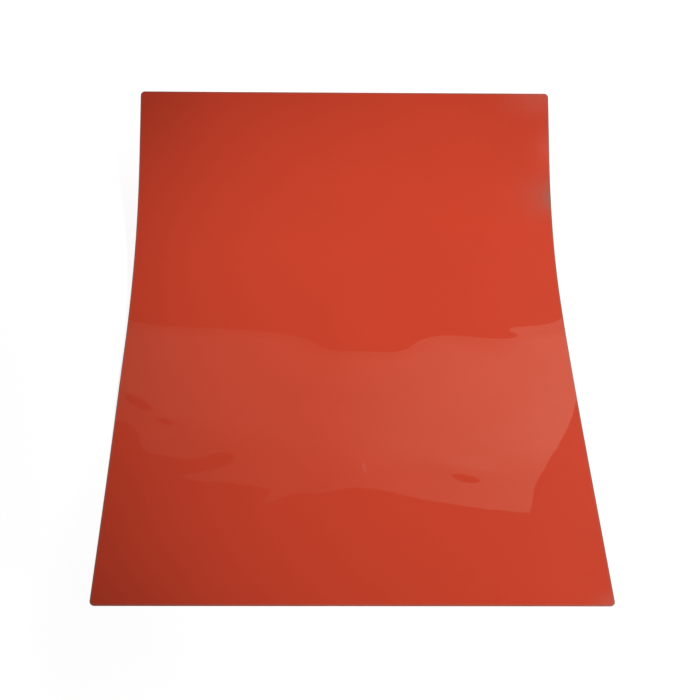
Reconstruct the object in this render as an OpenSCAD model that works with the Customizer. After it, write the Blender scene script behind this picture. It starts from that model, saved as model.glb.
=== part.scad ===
// A thin flexible baking mat: a woven glass cloth sealed between two coats of silicone.
// It lies on a worktop with its near stretch flat and its far end curled up.
// X runs across the mat, Y along it towards the curled end, and Z up from the worktop.

/* [Mat] */
// Width across the mat
mat_w = 300; // [200:1:420]
// Length of the mat, measured along its underside and round the curl
mat_l = 400; // [320:1:600]
// Radius of the four corners of the mat
corner_r = 4; // [2.5:0.5:15]

/* [Layers] */
// Thickness of the silicone under the cloth
base_t = 0.25; // [0.15:0.05:1]
// Thickness of the woven glass cloth
cloth_t = 0.2; // [0.1:0.05:0.5]
// Thickness of the silicone over the cloth
top_t = 0.25; // [0.15:0.05:1]
// Width of the solid silicone rim that seals the cloth on all four sides
rim_w = 2; // [1:0.25:2.25]

/* [Curled end] */
// Length of the near stretch, which lies flat
flat_l = 200; // [100:1:240]
// Length of the far stretch, which is straight and turned up
tail_l = 48; // [20:1:70]
// Angle that the far stretch is turned up from the worktop
curl_deg = 35; // [5:1:60]

/* [Hidden] */
// How far a cut runs past the surface that it goes through
overrun = 1;
// Stretch between the flat one and the turned-up one, and its radius at the underside
curl_l = mat_l - flat_l - tail_l;
curl_r = curl_l * 180 / (PI * curl_deg);
// Heights of the cloth's two faces and of the whole sheet above the underside
cloth_low = base_t;
cloth_high = base_t + cloth_t;
mat_t = cloth_high + top_t;
// Length that the curled mat covers on the worktop
plan_l = flat_l + curl_r * sin(curl_deg) + tail_l * cos(curl_deg);
// Radius that reaches past the corner where the two straight stretches would meet
knee_reach = curl_r / cos(curl_deg / 2) + overrun;
// One true arc needs many steps, because the sheet is thin beside its curl's radius
$fn = 720;

// Frame of the turned-up stretch in the side view, about the curl's centre
module turned_side() {
    rotate(curl_deg)
        children();
}

// Frame of the turned-up stretch in space, about the curl's centre
module turned_end() {
    translate([0, flat_l, curl_r])
        rotate([curl_deg, 0, 0])
            children();
}

// What the curl's arc leaves of the corner between the two straight stretches
module outside_arc(radius) {
    difference() {
        circle(knee_reach);
        circle(radius);
        translate([0, -knee_reach - overrun])
            mirror([1, 0])
                square([knee_reach + overrun, 2 * (knee_reach + overrun)]);
        turned_side()
            translate([0, -knee_reach - overrun])
                square([knee_reach + overrun, 2 * (knee_reach + overrun)]);
    }
}

// Side view, about the curl's centre, of the space above one face of the sheet
module above_face(height, reach) {
    radius = curl_r - height;
    difference() {
        translate([-reach, -radius])
            square([2 * reach, reach]);
        turned_side()
            translate([-reach, -radius - reach])
                square([2 * reach, reach]);
        outside_arc(radius);
    }
}

// Side view of one layer of the sheet, between two heights above the underside.
// Its ends stand back from the mat's two ends by the inset.
module side_profile(low, high, inset) {
    translate([flat_l, curl_r])
        difference() {
            above_face(low, mat_l);
            above_face(high, mat_l + overrun);
            translate([-flat_l + inset, -curl_r - overrun])
                mirror([1, 0])
                    square([2 * mat_l, 2 * mat_l]);
            turned_side()
                translate([tail_l - inset, -curl_r - overrun])
                    square([2 * mat_l, 2 * mat_l]);
        }
}

// Waste outside one rounded corner, whose two sides run along +X and +Y from the origin
module corner_waste(radius, low, high) {
    translate([0, 0, low - overrun])
        linear_extrude(high - low + 2 * overrun)
            difference() {
                translate([-overrun, -overrun])
                    square(radius + overrun);
                translate([radius, radius])
                    circle(radius);
            }
}

// One layer of the sheet, inset alike on all four sides, with its corners rounded
module layer(low, high, inset) {
    half_w = mat_w / 2 - inset;
    radius = corner_r - inset;
    difference() {
        rotate([90, 0, 90])
            linear_extrude(2 * half_w, center = true)
                side_profile(low, high, inset);
        for (side = [0, 1])
            mirror([side, 0, 0]) {
                translate([-half_w, inset, 0])
                    corner_waste(radius, low, high);
                turned_end()
                    translate([-half_w, tail_l - inset, -curl_r])
                        mirror([0, 1, 0])
                            corner_waste(radius, low, high);
            }
    }
}

// Puts the origin under the middle of the ground that the mat covers
module centred() {
    translate([0, -plan_l / 2, 0])
        children();
}

// Lower silicone: the face on the worktop, and the rim that the cloth lies inside
module base_coat() {
    color("firebrick")
        centred()
            difference() {
                layer(0, cloth_high, 0);
                layer(cloth_low, cloth_high + overrun, rim_w);
            }
}

// Woven glass cloth, laid in the lower silicone's recess
module glass_cloth_core() {
    color("wheat")
        centred()
            layer(cloth_low, cloth_high, rim_w);
}

// Upper silicone: the glossy face that food touches, over the cloth and the rim
module top_coat() {
    color("indianred")
        centred()
            layer(cloth_high, mat_t, 0);
}

base_coat();
glass_cloth_core();
top_coat();
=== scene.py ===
"""A silicone baking mat: a woven glass cloth sealed between two coats of silicone.

The near stretch lies flat on the worktop, and the far end curls up off it.
"""
import math

import bpy
from bpy.props import FloatProperty, FloatVectorProperty, PointerProperty
from bpy.types import Operator, Panel, PropertyGroup
from mathutils import Matrix, Vector


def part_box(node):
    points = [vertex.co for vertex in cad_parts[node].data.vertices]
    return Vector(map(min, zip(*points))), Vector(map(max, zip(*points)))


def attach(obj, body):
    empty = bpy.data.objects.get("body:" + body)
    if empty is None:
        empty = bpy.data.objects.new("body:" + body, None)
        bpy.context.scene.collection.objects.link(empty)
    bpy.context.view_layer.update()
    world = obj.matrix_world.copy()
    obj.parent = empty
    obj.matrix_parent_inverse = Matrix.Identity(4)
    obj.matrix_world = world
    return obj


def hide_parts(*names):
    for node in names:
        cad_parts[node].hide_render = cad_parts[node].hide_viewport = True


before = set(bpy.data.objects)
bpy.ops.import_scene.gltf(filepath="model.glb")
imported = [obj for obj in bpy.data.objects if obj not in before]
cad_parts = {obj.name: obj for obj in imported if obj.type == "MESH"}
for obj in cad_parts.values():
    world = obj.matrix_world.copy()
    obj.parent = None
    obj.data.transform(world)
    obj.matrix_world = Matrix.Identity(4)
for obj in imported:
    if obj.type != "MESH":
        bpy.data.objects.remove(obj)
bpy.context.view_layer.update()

bl_info = {
    "name": "Silicone Baking Mat",
    "version": (1, 0, 0),
    "blender": (4, 5, 0),
    "location": "3D View > Sidebar > Baking Mat",
    "description": "Makes a curled silicone baking mat and the studio round it",
    "category": "Add Mesh",
}

MM = 0.001
FLAT_MAP = "flat"
SHEET_BODY = "root"

# Width and length of one patch of the fine mesh, and the steps round a corner
PATCH = 2 * MM
CORNER_STEPS = 4

# Rounding of a cut edge: how far it reaches, how far its middle is from the cut and
# from the face, and how far in from the cut the mesh of the face starts
EDGE_ROUND, EDGE_MIDDLE, FACE_LINE = 0.1 * MM, 0.03 * MM, 0.3 * MM

# Low swells of the sheet, in millimetres:
# across and along the mat, half width, near and far length, lean, height
SWELLS = (
    (0, 240, 400, 45, 80, 0, 1.6),
    (-95, 225, 70, 28, 70, 0, 0.7),
    (-50, 230, 30, 36, 60, 0, 0.4),
    (-6, 222, 26, 26, 60, 0, 1.9),
    (32, 222, 24, 26, 60, 0, 1.95),
    (66, 230, 26, 36, 60, 0, 0.5),
    (100, 220, 30, 28, 60, 0, 1.1),
    (114, 207, 14, 5, 5, 0, 0.06),
    (170, 212, 48, 60, 40, 0, 2.1),
    (-150, 178, 44, 58, 150, 0, 2.55),
    (8, 105, 32, 30, 60, 0, 0.22),
    (110, 45, 50, 25, 25, 0, 0.16),
    (-82, 140, 40, 45, 70, 0, 0.85),
    (-76, 112, 18, 9, 8, 0.2, 0.06),
    (-112, 105, 14, 9, 8, -0.2, 0.035),
    (-80, 82, 32, 9, 8, 0, 0.04),
    (-50, 67, 12, 5, 6, 0.6, 0.045),
    (71, 95, 19, 8, 7, -0.2, 0.14),
    (-137, 151, 12, 5, 5, -0.6, 0.2),
    (-116, 134, 8, 4, 6, -0.3, 0.12),
)
SWELL_INPUTS = (
    "X", "S", "Across", "Along", "Half Width", "Near Length", "Far Length", "Lean",
    "Height",
)

# Painted reflection with painted shade, as grey patches on the top silicone at its
# right-hand edge, in millimetres: across and along the mat, half width, half length,
# and strength
PAINTED_EDGE_GLINTS = (
    (152, 322, 7, 11, 0.36),
    (146, 322, 17, 15, 0.17),
    (150, 2, 8, 6, 0.1),
)
# Grey of the painted reflection and shade at the right-hand edge and along the outline
PAINTED_GREY_COLOUR = (0.2, 0.165, 0.135)

# Pale painted sheen on the top silicone, along its right-hand edge and at its right
# corners, in the same way
PAINTED_SHEENS = (
    (150, 400, 26, 14, 0.2),
    (152, 358, 11, 14, 0.13),
    (150, 130, 40, 200, 0.035),
    (150, 0, 10, 8, 0.1),
)
# Colour of the painted sheen
SHEEN_COLOUR = (0.75, 0.25, 0.2)

# Scuff on the top silicone: its place on the flat mat, half length, half width, lean,
# and the share of it that is at full strength
SCUFF_ACROSS, SCUFF_ALONG = 9 * MM, 96 * MM
SCUFF_HALF_LENGTH, SCUFF_HALF_WIDTH, SCUFF_LEAN = 5 * MM, 1.5 * MM, 0.2
SCUFF_CORE = 0.3
DUST_COLOUR = (0.75, 0.62, 0.55)


# --------------------------------------------------------------------- settings


class MatSizes(PropertyGroup):
    """Sizes of the flat mat and of its curl."""

    width: FloatProperty(
        name="Width", description="Width across the mat", default=0.3, unit="LENGTH"
    )
    length: FloatProperty(
        name="Length", description="Length of the flat mat", default=0.4, unit="LENGTH"
    )
    corner: FloatProperty(
        name="Corner Radius",
        description="Radius of the four corners",
        default=3 * MM,
        unit="LENGTH",
    )
    rim: FloatProperty(
        name="Rim",
        description="Width of the solid silicone round the cloth",
        default=2 * MM,
        unit="LENGTH",
    )
    base_coat: FloatProperty(
        name="Base Coat",
        description="Thickness of the silicone under the cloth",
        default=0.25 * MM,
        unit="LENGTH",
    )
    cloth: FloatProperty(
        name="Glass Cloth",
        description="Thickness of the woven cloth",
        default=0.2 * MM,
        unit="LENGTH",
    )
    top_coat: FloatProperty(
        name="Top Coat",
        description="Thickness of the silicone over the cloth",
        default=0.25 * MM,
        unit="LENGTH",
    )
    flat_length: FloatProperty(
        name="Flat Length",
        description="Length of the near stretch, which lies on the worktop",
        default=0.2,
        unit="LENGTH",
    )
    tail_length: FloatProperty(
        name="Tail Length",
        description="Length of the far stretch, which is straight and turned up",
        default=0.048,
        unit="LENGTH",
    )
    curl: FloatProperty(
        name="Curl",
        description="Angle that the far stretch is turned up",
        default=math.radians(35),
        subtype="ANGLE",
    )


class MatFinish(PropertyGroup):
    """Colours and gloss of the mat."""

    top_colour: FloatVectorProperty(
        name="Top Silicone",
        description="Colour of the glossy upper silicone",
        default=(0.6, 0.0565, 0.025),
        subtype="COLOR",
        size=3,
    )
    top_roughness: FloatProperty(
        name="Top Roughness",
        description="Roughness of the clean upper face",
        default=0.01,
        subtype="FACTOR",
    )
    base_colour: FloatVectorProperty(
        name="Base Silicone",
        description="Colour of the satin lower silicone",
        default=(0.5, 0.05, 0.024),
        subtype="COLOR",
        size=3,
    )
    cloth_colour: FloatVectorProperty(
        name="Glass Cloth",
        description="Colour of the glass yarns",
        default=(0.72, 0.64, 0.5),
        subtype="COLOR",
        size=3,
    )


class StageSettings(PropertyGroup):
    """Lamps, room and window of the studio."""

    key_power: FloatProperty(
        name="Key Lamp",
        description="Power of the high soft-edged lamp at the right",
        default=71.5,
        unit="POWER",
    )
    back_power: FloatProperty(
        name="Back Lamp",
        description="Power of the small soft-edged lamp behind the curled end",
        default=24.5,
        unit="POWER",
    )
    under_power: FloatProperty(
        name="Underside Lamp",
        description="Power of the low lamp far behind, which lights only the underside",
        default=250.0,
        unit="POWER",
    )
    ambient: FloatProperty(
        name="Ambient",
        description="Brightness of the room that lights the mat from all sides",
        default=0.11,
    )
    window: FloatProperty(
        name="Window",
        description="Brightness of the window that the glossy face mirrors",
        default=1.0,
    )


# ------------------------------------------------------------------ node helpers


class Wire:
    """One output socket of a node tree; sums on it are written as expressions."""

    def __init__(self, bench, socket):
        self.bench = bench
        self.socket = socket

    def applied(self, operation):
        """The Math node of that operation on this socket alone."""
        return self.bench.maths(operation, self)

    def __add__(self, other):
        return self.bench.maths("ADD", self, other)

    def __radd__(self, other):
        return self.bench.maths("ADD", other, self)

    def __sub__(self, other):
        return self.bench.maths("SUBTRACT", self, other)

    def __rsub__(self, other):
        return self.bench.maths("SUBTRACT", other, self)

    def __mul__(self, other):
        return self.bench.maths("MULTIPLY", self, other)

    def __rmul__(self, other):
        return self.bench.maths("MULTIPLY", other, self)

    def __truediv__(self, other):
        return self.bench.maths("DIVIDE", self, other)

    def __rtruediv__(self, other):
        return self.bench.maths("DIVIDE", other, self)

    def __pow__(self, other):
        return self.bench.maths("POWER", self, other)

    def __rpow__(self, other):
        return self.bench.maths("POWER", other, self)

    def __neg__(self):
        return self.bench.maths("MULTIPLY", self, -1.0)

    def at_least(self, other):
        """The larger of the two."""
        return self.bench.maths("MAXIMUM", self, other)

    def at_most(self, other):
        """The smaller of the two."""
        return self.bench.maths("MINIMUM", self, other)

    def above(self, other):
        """1 where this is the larger and 0 elsewhere."""
        return self.bench.maths("GREATER_THAN", self, other)

    def ramp(self, low, high):
        """0 at low, 1 at high, and smooth between them."""
        return self.bench.node(
            "ShaderNodeMapRange",
            {"interpolation_type": "SMOOTHSTEP"},
            out="Result",
            Value=self,
            From_Min=low,
            From_Max=high,
        )


class Bench:
    """A node tree being built."""

    def __init__(self, tree):
        self.tree = tree
        tree.nodes.clear()

    def node(self, kind, settings=None, out=0, **sockets):
        """One output of a new node, with its settings made first and then its sockets.

        A socket's name has underscores for spaces, and in_0 is the first one. Each gets
        a link to a Wire or is set to a plain value.
        """
        node = self.tree.nodes.new(kind)
        for name, value in (settings or {}).items():
            setattr(node, name, value)
        for name, value in sockets.items():
            key = int(name[3:]) if name.startswith("in_") else name.replace("_", " ")
            if isinstance(value, Wire):
                self.tree.links.new(value.socket, node.inputs[key])
            else:
                node.inputs[key].default_value = value
        return Wire(self, node.outputs[out]) if node.outputs else None

    def maths(self, operation, *terms):
        """The Math node of that operation on these terms."""
        sockets = {f"in_{number}": term for number, term in enumerate(terms)}
        return self.node("ShaderNodeMath", {"operation": operation}, **sockets)

    def other(self, wire, name):
        """Another output of the node that the wire comes from."""
        return Wire(self, wire.socket.node.outputs[name])

    def split(self, vector):
        """The three parts of a vector."""
        x = self.node("ShaderNodeSeparateXYZ", Vector=vector)
        return x, self.other(x, "Y"), self.other(x, "Z")

    def noise(self, place, scale, detail):
        """Soft noise between 0 and 1."""
        return self.node("ShaderNodeTexNoise", Vector=place, Scale=scale, Detail=detail)

    def blend(self, factor, first, second):
        """The first colour where the factor is 0 and the second where it is 1."""
        return self.node(
            "ShaderNodeMix",
            {"data_type": "RGBA"},
            out=2,
            in_0=factor,
            in_6=first,
            in_7=second,
        )


def rgba(colour):
    """The colour as a socket takes it."""
    return (*colour, 1.0)


def grey(value):
    """Neutral colour of that brightness."""
    return rgba((value, value, value))


def toned(colour, share):
    """The colour at that share of its brightness, and nowhere over 1."""
    return rgba([min(1.0, c * share) for c in colour])


def add_object(name, data):
    """New object with that data, in the scene."""
    thing = bpy.data.objects.new(name, data)
    bpy.context.scene.collection.objects.link(thing)
    return thing


# --------------------------------------------------------------- mesh of a layer


def stations(half, corner, inset):
    """Places of the mesh lines along one direction, from one side to the other.

    The lines keep their places in the middle, and close up round the corners.
    """
    straight = half - corner
    count = max(2, round(2 * straight / PATCH))
    middle = [-straight + 2 * straight * i / count for i in range(count + 1)]
    small = corner - inset
    turn = [small * (i + 1) / CORNER_STEPS for i in range(CORNER_STEPS)]
    start = [-straight - step for step in reversed(turn)]
    return start + middle + [straight + step for step in turn]


def corner_pull(a, b):
    """Pulls a point of a corner's square onto the same ring of its quarter circle."""
    reach = math.hypot(a, b)
    share = max(abs(a), abs(b)) / reach if reach else 1.0
    return a * share, b * share


def layer_points(sizes, inset):
    """Grid of flat (across, along) places of one layer's outline and all inside it."""
    half_w, half_l, corner = sizes.width / 2, sizes.length / 2, sizes.corner
    columns = stations(half_w, corner, inset)
    rows = stations(half_l, corner, inset)
    grid = []
    for y in rows:
        line = []
        for x in columns:
            over_x = max(abs(x) - (half_w - corner), 0)
            over_y = max(abs(y) - (half_l - corner), 0)
            near_x, near_y = x, y
            if over_x > 0 and over_y > 0:
                pull_x, pull_y = corner_pull(over_x, over_y)
                near_x = math.copysign(half_w - corner + pull_x, x)
                near_y = math.copysign(half_l - corner + pull_y, y)
            line.append((near_x, near_y + half_l))
        grid.append(line)
    return grid


def boundary(rows, columns):
    """Row and column of each boundary point of a grid, once round it."""
    ring = [(0, c) for c in range(columns)]
    ring += [(r, columns - 1) for r in range(1, rows)]
    ring += [(rows - 1, c) for c in range(columns - 2, -1, -1)]
    ring += [(r, 0) for r in range(rows - 2, 0, -1)]
    return ring


def layer_mesh(name, sizes, rings):
    """Closed flat mesh of one layer.

    rings are (inset, height) pairs from the middle of the lower face, out round
    the cut edge and in to the upper face. The first and the last bound a face.
    """
    points, faces, loops = [], [], []
    for number, (inset, height) in enumerate(rings):
        grid = layer_points(sizes, inset)
        rows, columns = len(grid), len(grid[0])
        start = len(points)
        if number in (0, len(rings) - 1):
            points += [(*place, height) for line in grid for place in line]
            loops.append([start + r * columns + c for r, c in boundary(rows, columns)])
            for r in range(rows - 1):
                for c in range(columns - 1):
                    a = start + r * columns + c
                    quad = (a, a + 1, a + columns + 1, a + columns)
                    faces.append(quad if number else quad[::-1])
        else:
            ring = boundary(rows, columns)
            points += [(*grid[r][c], height) for r, c in ring]
            loops.append(list(range(start, start + len(ring))))
    for lower, upper in zip(loops, loops[1:]):
        for i in range(len(lower)):
            j = (i + 1) % len(lower)
            faces.append((lower[i], lower[j], upper[j], upper[i]))
    mesh = bpy.data.meshes.new(name)
    mesh.from_pydata(points, [], faces)
    flat = mesh.uv_layers.new(name=FLAT_MAP)
    for loop, place in zip(mesh.loops, flat.data):
        place.uv = mesh.vertices[loop.vertex_index].co[:2]
    for face in mesh.polygons:
        face.use_smooth = True
    mesh.validate()
    return mesh


# ---------------------------------------------------------- how the sheet is laid


def swell_group():
    """Node group: the rise of one low swell at a place on the flat mat."""
    name = "Swell"
    if name in bpy.data.node_groups:
        return bpy.data.node_groups[name]
    tree = bpy.data.node_groups.new(name, "GeometryNodeTree")
    for label in SWELL_INPUTS:
        tree.interface.new_socket(label, in_out="INPUT", socket_type="NodeSocketFloat")
    tree.interface.new_socket("Rise", in_out="OUTPUT", socket_type="NodeSocketFloat")
    bench = Bench(tree)
    inlet = bench.node("NodeGroupInput")
    x, s, across, along, half, near, far, lean, height = (
        bench.other(inlet, label) for label in SWELL_INPUTS
    )
    sideways = x - across
    ahead = s - along - lean * sideways
    reach = near + (far - near) * ahead.above(0.0)
    wide, deep = sideways / half, ahead / reach
    fall = (-(wide * wide + deep * deep)).applied("EXPONENT")
    bench.node("NodeGroupOutput", Rise=height * fall)
    return tree


def laying_tree():
    """Node tree that lays a flat layer: flat, then round the curl, then straight up."""
    name = "Lay the Sheet"
    if name in bpy.data.node_groups:
        return bpy.data.node_groups[name]
    tree = bpy.data.node_groups.new(name, "GeometryNodeTree")
    face = tree.interface
    face.new_socket("Geometry", in_out="INPUT", socket_type="NodeSocketGeometry")
    numbers = ("Flat Length", "Curl Length", "Curl Angle", "Near Edge")
    for label in numbers:
        face.new_socket(label, in_out="INPUT", socket_type="NodeSocketFloat")
    face.new_socket("Material", in_out="INPUT", socket_type="NodeSocketMaterial")
    face.new_socket("Geometry", in_out="OUTPUT", socket_type="NodeSocketGeometry")
    bench = Bench(tree)
    inlet = bench.node("NodeGroupInput")
    flat, curl, angle, near_edge = (bench.other(inlet, label) for label in numbers)
    x, s, h = bench.split(bench.node("GeometryNodeInputPosition"))
    radius = curl / angle
    turn = ((s - flat) / radius).at_least(0.0).at_most(angle)
    past = (s - flat - curl).at_least(0.0)
    sine, cosine = turn.applied("SINE"), turn.applied("COSINE")
    y = s.at_most(flat) + radius * sine + past * cosine
    z = radius * (1 - cosine) + past * sine
    for across, along, half, near, far, lean, height in SWELLS:
        h = h + bench.node(
            "GeometryNodeGroup",
            {"node_tree": swell_group()},
            X=x,
            S=s,
            Across=across * MM,
            Along=along * MM,
            Half_Width=half * MM,
            Near_Length=near * MM,
            Far_Length=far * MM,
            Lean=lean,
            Height=height * MM,
        )
    laid = bench.node(
        "ShaderNodeCombineXYZ", X=x, Y=near_edge + y - h * sine, Z=z + h * cosine
    )
    moved = bench.node("GeometryNodeSetPosition", Geometry=inlet, Position=laid)
    whole = bench.node("GeometryNodeRealizeInstances", Geometry=moved)
    finish = bench.other(inlet, "Material")
    dressed = bench.node("GeometryNodeSetMaterial", Geometry=whole, Material=finish)
    bench.node("NodeGroupOutput", Geometry=dressed)
    return tree


def lay(piece, sizes, material):
    """Lays the flat piece as the mat lies, and keeps the result as a plain mesh."""
    tree = laying_tree()
    modifier = piece.modifiers.new("Lay", "NODES")
    modifier.node_group = tree
    inputs = {
        "Flat Length": sizes.flat_length,
        "Curl Length": sizes.length - sizes.flat_length - sizes.tail_length,
        "Curl Angle": sizes.curl,
        "Near Edge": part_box("base_coat")[0][1],
        "Material": material,
    }
    for socket in tree.interface.items_tree:
        if socket.name in inputs:
            modifier[socket.identifier] = inputs[socket.name]
    depsgraph = bpy.context.evaluated_depsgraph_get()
    result = bpy.data.meshes.new_from_object(
        piece.evaluated_get(depsgraph),
        preserve_all_data_layers=True,
        depsgraph=depsgraph,
    )
    result.name = piece.name
    piece.modifiers.clear()
    piece.data = result


def make_layer(name, rings, material):
    """One layer of the mat, made flat and then laid."""
    sizes = bpy.context.scene.mat_sizes
    piece = add_object(name, layer_mesh(name, sizes, rings))
    lay(piece, sizes, material)
    return piece


# --------------------------------------------------------------------- materials

# Each noise is given as its fineness and its detail, and each fade as its two ends

# Spacing of the cloth's yarns, and how blunt their rounded tops are
CLOTH_PITCH = 1.2 * MM
YARN_BLUNTNESS = 0.6

# Drift of a silicone's colour: its two noises, the first one's weight, and its fade
BROAD_DRIFT, FINE_DRIFT = (14.0, 3.0), (260.0, 2.0)
BROAD_WEIGHT = 0.75
DRIFT_FADE = (0.35, 0.65)

# Dust: fineness of its cells, fade from a speck's core to its rim, and faintest speck
DUST_CELLS = 90.0
SPECK_FADE = (0.02, 0.05)
FAINTEST_SPECK = 0.4

# Painted glints, shade and sheen: the noise that breaks them up, their least share, and
# what it adds
PAINTED_PATCH_NOISE = (120.0, 3.0)
LEAST_PAINTED_SHARE, PAINTED_PATCH_GAIN = 0.6, 0.8

# Silicone: its refractive index, the share of its colour kept in painted shade, the
# fade of its matt cut edge from the outline inwards, and how strongly that edge takes
# the painted shade
SILICONE_IOR = 1.41
SHADE_TONE = 0.4
CUT_FADE = (0.02 * MM, 0.12 * MM)
CUT_PAINTED_SHADE = 0.35


def new_material(name):
    """Empty node material, and the bench to build it on."""
    material = bpy.data.materials.new(name)
    material.use_nodes = True
    return material, Bench(material.node_tree)


def show(bench, shader):
    """Puts the shader on the material's surface."""
    bench.node("ShaderNodeOutputMaterial", Surface=shader)


def show_finish(bench, colour, roughness, ior, relief, height):
    """Puts a finish on the surface; relief is the height in metres of its bumps."""
    normal = bench.node("ShaderNodeBump", Strength=1.0, Distance=relief, Height=height)
    shader = bench.node(
        "ShaderNodeBsdfPrincipled",
        Base_Color=colour,
        Roughness=roughness,
        IOR=ior,
        Normal=normal,
    )
    show(bench, shader)


def flat_place(bench):
    """Place on the flat mat: the vector, how far across, and how far along."""
    place = bench.node("ShaderNodeUVMap", {"uv_map": FLAT_MAP})
    x, s, _ = bench.split(place)
    return place, x, s


def depth_in(x, s):
    """How far a place is inside the mat's rounded outline."""
    sizes = bpy.context.scene.mat_sizes
    half_w, half_l = sizes.width / 2 - sizes.corner, sizes.length / 2 - sizes.corner
    over_x = x.applied("ABSOLUTE") - half_w
    over_s = (s - sizes.length / 2).applied("ABSOLUTE") - half_l
    out_x, out_s = over_x.at_least(0.0), over_s.at_least(0.0)
    round_corner = (out_x * out_x + out_s * out_s).applied("SQRT")
    return sizes.corner - (round_corner + over_x.at_least(over_s).at_most(0.0))


def uneven_colour(bench, place, colour, spread):
    """Colour that drifts a little, broadly and finely, as a mixed silicone does."""
    broad, fine = bench.noise(place, *BROAD_DRIFT), bench.noise(place, *FINE_DRIFT)
    drift = (broad * BROAD_WEIGHT + fine * (1 - BROAD_WEIGHT)).ramp(*DRIFT_FADE)
    return bench.blend(drift, toned(colour, 1 - spread), toned(colour, 1 + spread))


def dust_specks(bench, place, share):
    """1 on a few tiny specks of dust and 0 elsewhere."""
    cells = bench.node("ShaderNodeTexVoronoi", Vector=place, Scale=DUST_CELLS)
    chance, size, _ = bench.split(bench.other(cells, "Color"))
    near = 1 - cells.ramp(*SPECK_FADE)
    strength = FAINTEST_SPECK + (1 - FAINTEST_SPECK) * size
    return near * chance.above(1 - share) * strength


def scuff(x, s):
    """1 on the short faint scuff near the middle of the mat and 0 elsewhere."""
    ahead = (s - SCUFF_ALONG) / SCUFF_HALF_LENGTH
    aside = (x - SCUFF_ACROSS + SCUFF_LEAN * (s - SCUFF_ALONG)) / SCUFF_HALF_WIDTH
    return 1 - (ahead * ahead + aside * aside).ramp(SCUFF_CORE, 1.0)


def painted_patches(bench, place, x, s, spots):
    """How strongly these spots of painted light and shade cover a place, broken up a
    little.
    """
    cover = 0.0
    for across, along, half_width, half_length, strength in spots:
        aside = (x - across * MM) / (half_width * MM)
        ahead = (s - along * MM) / (half_length * MM)
        square = aside * aside + ahead * ahead
        cover = cover + strength * (-square).applied("EXPONENT")
    return cover * (LEAST_PAINTED_SHARE + PAINTED_PATCH_GAIN * bench.noise(place, *PAINTED_PATCH_NOISE))


def weave(x, s):
    """Height of a plain weave from 0 to 1, and 1 where a lengthwise yarn is on top."""
    turn = math.pi / CLOTH_PITCH
    wave_x, wave_s = (x * turn).applied("SINE"), (s * turn).applied("SINE")
    lengthwise = 0.5 + 0.5 * wave_x.applied("SIGN") * wave_s
    crosswise = 0.5 - 0.5 * wave_s.applied("SIGN") * wave_x
    high_x = wave_x.applied("ABSOLUTE") ** YARN_BLUNTNESS * lengthwise
    high_s = wave_s.applied("ABSOLUTE") ** YARN_BLUNTNESS * crosswise
    return high_x.at_least(high_s), high_x.above(high_s)


# Top silicone: spread of its colour; share of its cells that hold dust; fade from the
# outline inwards of its rim, which has grey painted shade and is duller; how strongly
# the rim takes that, and the most that the rim and the painted grey patches reach
TOP_SPREAD, TOP_DUST = 0.015, 0.03
RIM_FADE = (0.3 * MM, 1.4 * MM)
RIM_SHADE_AND_DULLNESS, MOST_GREY_AND_DULLNESS = 0.45, 0.65
# How strongly its scuff and its dust show
SCUFF_SHOWS, TOP_DUST_SHOWS = 0.035, 0.12
# Noise and fade of its smudges, and noise and height of its faint orange peel
SMUDGES, SMUDGE_FADE = (22.0, 2.0), (0.5, 0.7)
ORANGE_PEEL, PEEL_HEIGHT = (130.0, 1.0), 0.003 * MM
# What the smudges, the cut edge, the scuff, dust and dullness add to its roughness
SMUDGE_ROUGH, TOP_CUT_ROUGH, SCUFF_ROUGH = 0.005, 0.4, 0.02
DUST_ROUGH, DULL_ROUGH = 0.2, 0.1


def top_silicone():
    """Glossy red silicone with smudges, one scuff and a little dust.

    Its colour also carries painted shade, a painted reflection and painted sheen.
    """
    finish = bpy.context.scene.mat_finish
    material, bench = new_material("top_silicone_gloss")
    place, x, s = flat_place(bench)
    depth = depth_in(x, s)
    cut = 1 - depth.ramp(*CUT_FADE)
    rim = 1 - depth.ramp(*RIM_FADE)
    dust = dust_specks(bench, place, TOP_DUST)
    mark = scuff(x, s)
    # painted shade: grey along the outline and in the painted patches at the right-hand
    # edge, which are also duller
    painted_grey_and_dull = painted_patches(bench, place, x, s, PAINTED_EDGE_GLINTS) + rim * RIM_SHADE_AND_DULLNESS
    painted_grey_and_dull = painted_grey_and_dull.at_most(MOST_GREY_AND_DULLNESS)
    # painted sheen along the right-hand edge and at its corners
    painted_sheen = painted_patches(bench, place, x, s, PAINTED_SHEENS)
    marks = mark * SCUFF_SHOWS + dust * TOP_DUST_SHOWS
    colour = uneven_colour(bench, place, finish.top_colour, TOP_SPREAD)
    # painted reflection and shade in grey
    colour = bench.blend(painted_grey_and_dull, colour, rgba(PAINTED_GREY_COLOUR))
    # painted sheen
    colour = bench.blend(painted_sheen, colour, rgba(SHEEN_COLOUR))
    # painted shade on the cut edge
    colour = bench.blend(cut * CUT_PAINTED_SHADE, colour, toned(finish.top_colour, SHADE_TONE))
    colour = bench.blend(marks, colour, rgba(DUST_COLOUR))
    smudge = bench.noise(place, *SMUDGES).ramp(*SMUDGE_FADE)
    roughness = finish.top_roughness + smudge * SMUDGE_ROUGH
    roughness = roughness + cut * TOP_CUT_ROUGH + mark * SCUFF_ROUGH
    roughness = roughness + dust * DUST_ROUGH + painted_grey_and_dull * DULL_ROUGH
    peel = bench.noise(place, *ORANGE_PEEL)
    show_finish(bench, colour, roughness, SILICONE_IOR, PEEL_HEIGHT, peel)
    return material


# Lower silicone: spread of its colour, share of its cells that hold dust, and how
# strongly that shows
BASE_SPREAD, BASE_DUST, BASE_DUST_SHOWS = 0.03, 0.06, 0.25
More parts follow.
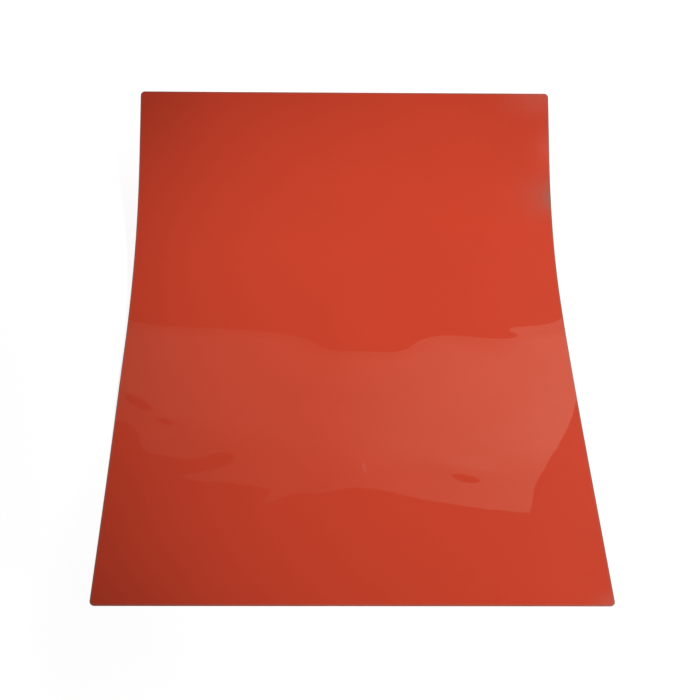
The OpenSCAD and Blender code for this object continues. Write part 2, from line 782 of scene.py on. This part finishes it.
# Weave that shows through it: fade from the outline inwards, how strongly its dips take
# painted shade, and its height
WEAVE_FADE = (1.6 * MM, 2.4 * MM)
WEAVE_PAINTED_SHADE, WEAVE_HEIGHT = 0.25, 0.03 * MM
# Noise and fade of its rubbed patches, its roughness, and what they and the cut add
RUBBED_PATCHES, RUBBED_FADE = (30.0, 4.0), (0.35, 0.7)
BASE_ROUGH, RUBBED_ROUGH, BASE_CUT_ROUGH = 0.34, 0.1, 0.1


def base_silicone():
    """Satin red silicone, through which the cloth's weave shows inside the rim.

    Its colour has painted shade in the weave's dips and on the cut edge.
    """
    finish = bpy.context.scene.mat_finish
    material, bench = new_material("base_silicone_satin")
    place, x, s = flat_place(bench)
    depth = depth_in(x, s)
    cut = 1 - depth.ramp(*CUT_FADE)
    inside = depth.ramp(*WEAVE_FADE)
    yarns, _ = weave(x, s)
    dust = dust_specks(bench, place, BASE_DUST)
    # painted shade in the weave's dips and on the cut edge
    shade = inside * (1 - yarns) * WEAVE_PAINTED_SHADE + cut * CUT_PAINTED_SHADE
    colour = uneven_colour(bench, place, finish.base_colour, BASE_SPREAD)
    colour = bench.blend(shade, colour, toned(finish.base_colour, SHADE_TONE))
    colour = bench.blend(dust * BASE_DUST_SHOWS, colour, rgba(DUST_COLOUR))
    rubbed = bench.noise(place, *RUBBED_PATCHES).ramp(*RUBBED_FADE)
    roughness = BASE_ROUGH + rubbed * RUBBED_ROUGH + cut * BASE_CUT_ROUGH
    height = inside * yarns
    show_finish(bench, colour, roughness, SILICONE_IOR, WEAVE_HEIGHT, height)
    return material


# Glass cloth: noise of its threads, its refractive index, and its darkest tone, which
# serves as painted shade in the dips
THREADS = (2500.0, 1.0)
GLASS_IOR = 1.5
YARN_SHADE_AND_TONE = 0.45
# How strongly a dip takes the darkest tone as painted shade, and how strongly a
# lengthwise yarn and a thread take it
DIP_SHADE, LENGTHWISE_SHADE, THREAD_SHADE = 0.7, 0.08, 0.12
# Height of its yarns, a thread's share of that, its roughness, and what a thread adds
YARN_HEIGHT, THREAD_RELIEF = 0.1 * MM, 0.1
YARN_ROUGH, THREAD_ROUGH = 0.42, 0.15


def glass_cloth():
    """Plain-woven glass yarns, with painted shade where they dip under each other."""
    finish = bpy.context.scene.mat_finish
    material, bench = new_material("glass_cloth_weave")
    place, x, s = flat_place(bench)
    yarns, lengthwise = weave(x, s)
    threads = bench.noise(place, *THREADS)
    # painted shade in the dips between the yarns
    shade = (1 - yarns) * DIP_SHADE + lengthwise * LENGTHWISE_SHADE
    shade = shade + threads * THREAD_SHADE
    dark = toned(finish.cloth_colour, YARN_SHADE_AND_TONE)
    colour = bench.blend(shade, rgba(finish.cloth_colour), dark)
    roughness = YARN_ROUGH + threads * THREAD_ROUGH
    height = yarns + threads * THREAD_RELIEF
    show_finish(bench, colour, roughness, GLASS_IOR, YARN_HEIGHT, height)
    return material


# -------------------------------------------------------------------- the pieces


class MAT_OT_base_coat(Operator):
    """Make the lower silicone, a tray whose rim closes round the cloth"""

    bl_idname = "mat.base_coat"
    bl_label = "Base Coat"

    def execute(self, context):
        sizes = context.scene.mat_sizes
        rim_top = sizes.base_coat + sizes.cloth
        rings = (
            (FACE_LINE, 0.0),
            (EDGE_ROUND, 0.0),
            (EDGE_MIDDLE, EDGE_MIDDLE),
            (0.0, EDGE_ROUND),
            (0.0, rim_top),
            (sizes.rim, rim_top),
            (sizes.rim, sizes.base_coat),
        )
        piece = make_layer("base_coat_sheet", rings, base_silicone())
        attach(piece, SHEET_BODY)
        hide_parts("base_coat")
        return {"FINISHED"}


class MAT_OT_glass_cloth(Operator):
    """Make the woven glass cloth that lies in the lower silicone's recess"""

    bl_idname = "mat.glass_cloth"
    bl_label = "Glass Cloth"

    def execute(self, context):
        sizes = context.scene.mat_sizes
        low, high = sizes.base_coat, sizes.base_coat + sizes.cloth
        rings = ((sizes.rim, low), (sizes.rim, high))
        piece = make_layer("glass_cloth_sheet", rings, glass_cloth())
        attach(piece, SHEET_BODY)
        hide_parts("glass_cloth_core")
        return {"FINISHED"}


class MAT_OT_top_coat(Operator):
    """Make the glossy upper silicone, which closes over the cloth and the rim"""

    bl_idname = "mat.top_coat"
    bl_label = "Top Coat"

    def execute(self, context):
        sizes = context.scene.mat_sizes
        low = sizes.base_coat + sizes.cloth
        high = low + sizes.top_coat
        rings = (
            (FACE_LINE, low),
            (0.0, low),
            (0.0, high - EDGE_ROUND),
            (EDGE_MIDDLE, high - EDGE_MIDDLE),
            (EDGE_ROUND, high),
            (FACE_LINE, high),
        )
        piece = make_layer("top_coat_sheet", rings, top_silicone())
        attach(piece, SHEET_BODY)
        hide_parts("top_coat")
        return {"FINISHED"}


# ------------------------------------------------------------------------- stage

# Photograph's viewpoint: place in metres, angles in degrees, and lens
EYE = (-0.02445, -0.52077, 0.59981)
PITCH, YAW, ROLL = 48.884, 0.918, -0.878
LENS, SENSOR = 60.4, 36.0
SHIFT_X = 0.0383

# Lamps: place, aim, angle of the cone, and the share of the cone that fades
LAMPS = {
    "key_lamp": ((0.53, -0.62, 1.22), (0.09, -0.037, 0.02), 0.505, 0.77),
    "back_lamp": ((-0.4, 0.68, 1.5), (0.045, 0.17, 0.02), 0.295, 0.25),
    "under_lamp": ((0, 2.5, 0.4), (0, 0.15, 0.04), 0.3, 0.5),
}
LAMP_RADIUS = 0.1

# Worktop: half its side; the grey of its board; and the white that lies over it, which
# is greyer near the mat, with its brightness, its share, and where the grey fades out
WORKTOP_HALF = 6.0
BOARD_GREY = 0.8
NEAR_GREY, NEAR_FADE = 0.86, (0.2, 0.4)
WHITE_BRIGHTNESS, WHITE_SHARE = 1.36, 0.74

# Window far behind the mat: its distance, its tint, and (x, z) corners of its outline
WINDOW_Y = 3.0
WINDOW_TINT = (1.0, 0.96, 0.72)
WINDOW_OUTLINE = (
    (-6.0, 0.2), (1.6, 0.2), (1.42, 3.9), (1.29, 4.02), (1.215, 4.24), (1.15, 4.48),
    (1.15, 4.66), (-6.0, 4.66),
)
# Its brightness: at the left, where that starts to rise and over how many metres, how
# much it rises in each, and how much of it fades near the top and between which heights
LEFT_BRIGHTNESS, RISE_FROM, RISE_REACH, RISE_RATE = 0.5, 0.02, 1.2, 1.04
TOP_DIMMING, TOP_FADE = 0.3, (4.1, 4.5)
# The window's colour is written at half its brightness, so that it stays under 1
WINDOW_SCALE = 2

# Room that the glossy faces mirror, where a height is the rise of the line of sight:
# how dim it is, how much brighter low down and where that fades, and its strip of light
ROOM_DIM = 0.06
ROOM_LOW, ROOM_LOW_FADE = 0.36, (0.35, 0.6)
STRIP_LIGHT, STRIP_FROM, STRIP_TO = 0.8, 0.62, 0.73


def add_stage_mesh(name, corners, material):
    """One flat face of the studio."""
    mesh = bpy.data.meshes.new(name)
    mesh.from_pydata(corners, [], [tuple(range(len(corners)))])
    mesh.materials.append(material)
    thing = add_object(name, mesh)
    return thing


def worktop_material():
    """Pale worktop that reads white, and keeps a soft shadow."""
    material, bench = new_material("pale_worktop")
    path = bench.node("ShaderNodeLightPath")
    seen = path.at_least(bench.other(path, "Is Glossy Ray"))
    seen = seen.at_least(bench.other(path, "Is Transmission Ray"))
    board = bench.node("ShaderNodeBsdfDiffuse", Color=grey(BOARD_GREY))
    x, y, _ = bench.split(bench.node("ShaderNodeTexCoord", out="Object"))
    far = (x * x + y * y).applied("SQRT").ramp(*NEAR_FADE)
    paper = bench.blend(far, grey(NEAR_GREY), grey(1.0))
    white = bench.node("ShaderNodeEmission", Color=paper, Strength=WHITE_BRIGHTNESS)
    share = seen * WHITE_SHARE
    show(bench, bench.node("ShaderNodeMixShader", in_0=share, in_1=board, in_2=white))
    return material


def window_material(brightness):
    """Bright window, dimmer at its left and top, that only the glossy faces show."""
    material, bench = new_material("window_glow")
    material.cycles.emission_sampling = "NONE"
    x, _, z = bench.split(bench.node("ShaderNodeTexCoord", out="Object"))
    rise = (x - RISE_FROM).at_least(0.0).at_most(RISE_REACH)
    pale = (LEFT_BRIGHTNESS + RISE_RATE * rise) * (1 - TOP_DIMMING * z.ramp(*TOP_FADE))
    colour = bench.blend(pale / WINDOW_SCALE, grey(0.0), rgba(WINDOW_TINT))
    strength = WINDOW_SCALE * brightness
    show(bench, bench.node("ShaderNodeEmission", Color=colour, Strength=strength))
    return material


def set_world(ambient):
    """White behind the object; for glossy faces a dim room with a strip of light."""
    world = bpy.data.worlds.new("studio_room")
    bpy.context.scene.world = world
    world.use_nodes = True
    world.cycles.sampling_method = "NONE"
    bench = Bench(world.node_tree)
    path = bench.node("ShaderNodeLightPath")
    seen = path.at_least(bench.other(path, "Is Transmission Ray"))
    glossy = bench.other(path, "Is Glossy Ray")
    _, _, height = bench.split(bench.node("ShaderNodeTexCoord"))
    low = 1 - height.ramp(*ROOM_LOW_FADE)
    strip = height.above(STRIP_FROM) * (1 - height.above(STRIP_TO))
    mirrored = ROOM_DIM + ROOM_LOW * low + STRIP_LIGHT * strip
    strength = ambient + (mirrored - ambient) * glossy
    strength = strength + (1 - strength) * seen
    ground = bench.node("ShaderNodeBackground", Color=grey(1.0), Strength=strength)
    bench.node("ShaderNodeOutputWorld", Surface=ground)


def add_lamp(name, power):
    """Round lamp whose light fades softly towards the rim of its cone."""
    place, aim, cone, fade = LAMPS[name]
    lamp = bpy.data.lights.new(name, "SPOT")
    lamp.spot_size, lamp.spot_blend = cone, fade
    lamp.shadow_soft_size, lamp.energy = LAMP_RADIUS, power
    thing = add_object(name, lamp)
    thing.location = place
    thing.rotation_mode = "QUATERNION"
    thing.rotation_quaternion = (Vector(place) - Vector(aim)).to_track_quat("Z", "Y")
    thing.visible_glossy = False


def set_camera():
    """Camera at the photograph's viewpoint."""
    pitch, yaw, roll = (math.radians(angle) for angle in (PITCH, YAW, ROLL))
    turn = (
        Matrix.Rotation(-yaw, 4, "Z")
        @ Matrix.Rotation(math.pi / 2 - pitch, 4, "X")
        @ Matrix.Rotation(-roll, 4, "Z")
    )
    camera = bpy.data.cameras.new("photo_camera")
    camera.lens, camera.sensor_width = LENS, SENSOR
    camera.shift_x = SHIFT_X
    thing = add_object("photo_camera", camera)
    thing.matrix_world = Matrix.Translation(EYE) @ turn
    bpy.context.scene.camera = thing


class MAT_OT_stage(Operator):
    """Make the floor, the window, the lamps and the camera"""

    bl_idname = "mat.stage"
    bl_label = "Stage"

    def execute(self, context):
        settings = context.scene.mat_stage
        half = WORKTOP_HALF
        add_stage_mesh(
            "worktop",
            [(-half, -half, 0), (half, -half, 0), (half, half, 0), (-half, half, 0)],
            worktop_material(),
        )
        window = add_stage_mesh(
            "window",
            [(x, WINDOW_Y, z) for x, z in WINDOW_OUTLINE],
            window_material(settings.window),
        )
        window.visible_camera = False
        window.visible_diffuse = False
        window.visible_shadow = False
        set_world(settings.ambient)
        add_lamp("key_lamp", settings.key_power)
        add_lamp("back_lamp", settings.back_power)
        add_lamp("under_lamp", settings.under_power)
        set_camera()
        context.scene.view_settings.view_transform = "Standard"
        return {"FINISHED"}


# ------------------------------------------------------------------------ add-on


class MAT_PT_panel(Panel):
    """Lists the pieces of the mat, its sizes and its finishes"""

    bl_idname = "MAT_PT_panel"
    bl_label = "Baking Mat"
    bl_space_type = "VIEW_3D"
    bl_region_type = "UI"
    bl_category = "Baking Mat"

    def draw(self, context):
        layout = self.layout
        scene = context.scene
        for group in (scene.mat_sizes, scene.mat_finish, scene.mat_stage):
            box = layout.box()
            for name in group.__annotations__:
                box.prop(group, name)
        for operator in OPERATORS:
            layout.operator(operator.bl_idname)


OPERATORS = (MAT_OT_base_coat, MAT_OT_glass_cloth, MAT_OT_top_coat, MAT_OT_stage)
CLASSES = (MatSizes, MatFinish, StageSettings, *OPERATORS, MAT_PT_panel)


def register():
    for item in CLASSES:
        bpy.utils.register_class(item)
    bpy.types.Scene.mat_sizes = PointerProperty(type=MatSizes)
    bpy.types.Scene.mat_finish = PointerProperty(type=MatFinish)
    bpy.types.Scene.mat_stage = PointerProperty(type=StageSettings)


def unregister():
    del bpy.types.Scene.mat_stage
    del bpy.types.Scene.mat_finish
    del bpy.types.Scene.mat_sizes
    for item in reversed(CLASSES):
        bpy.utils.unregister_class(item)


def main():
    """Makes the mat and its studio."""
    register()
    bpy.ops.mat.base_coat()
    bpy.ops.mat.glass_cloth()
    bpy.ops.mat.top_coat()
    bpy.ops.mat.stage()


if __name__ == "__main__":
    main()
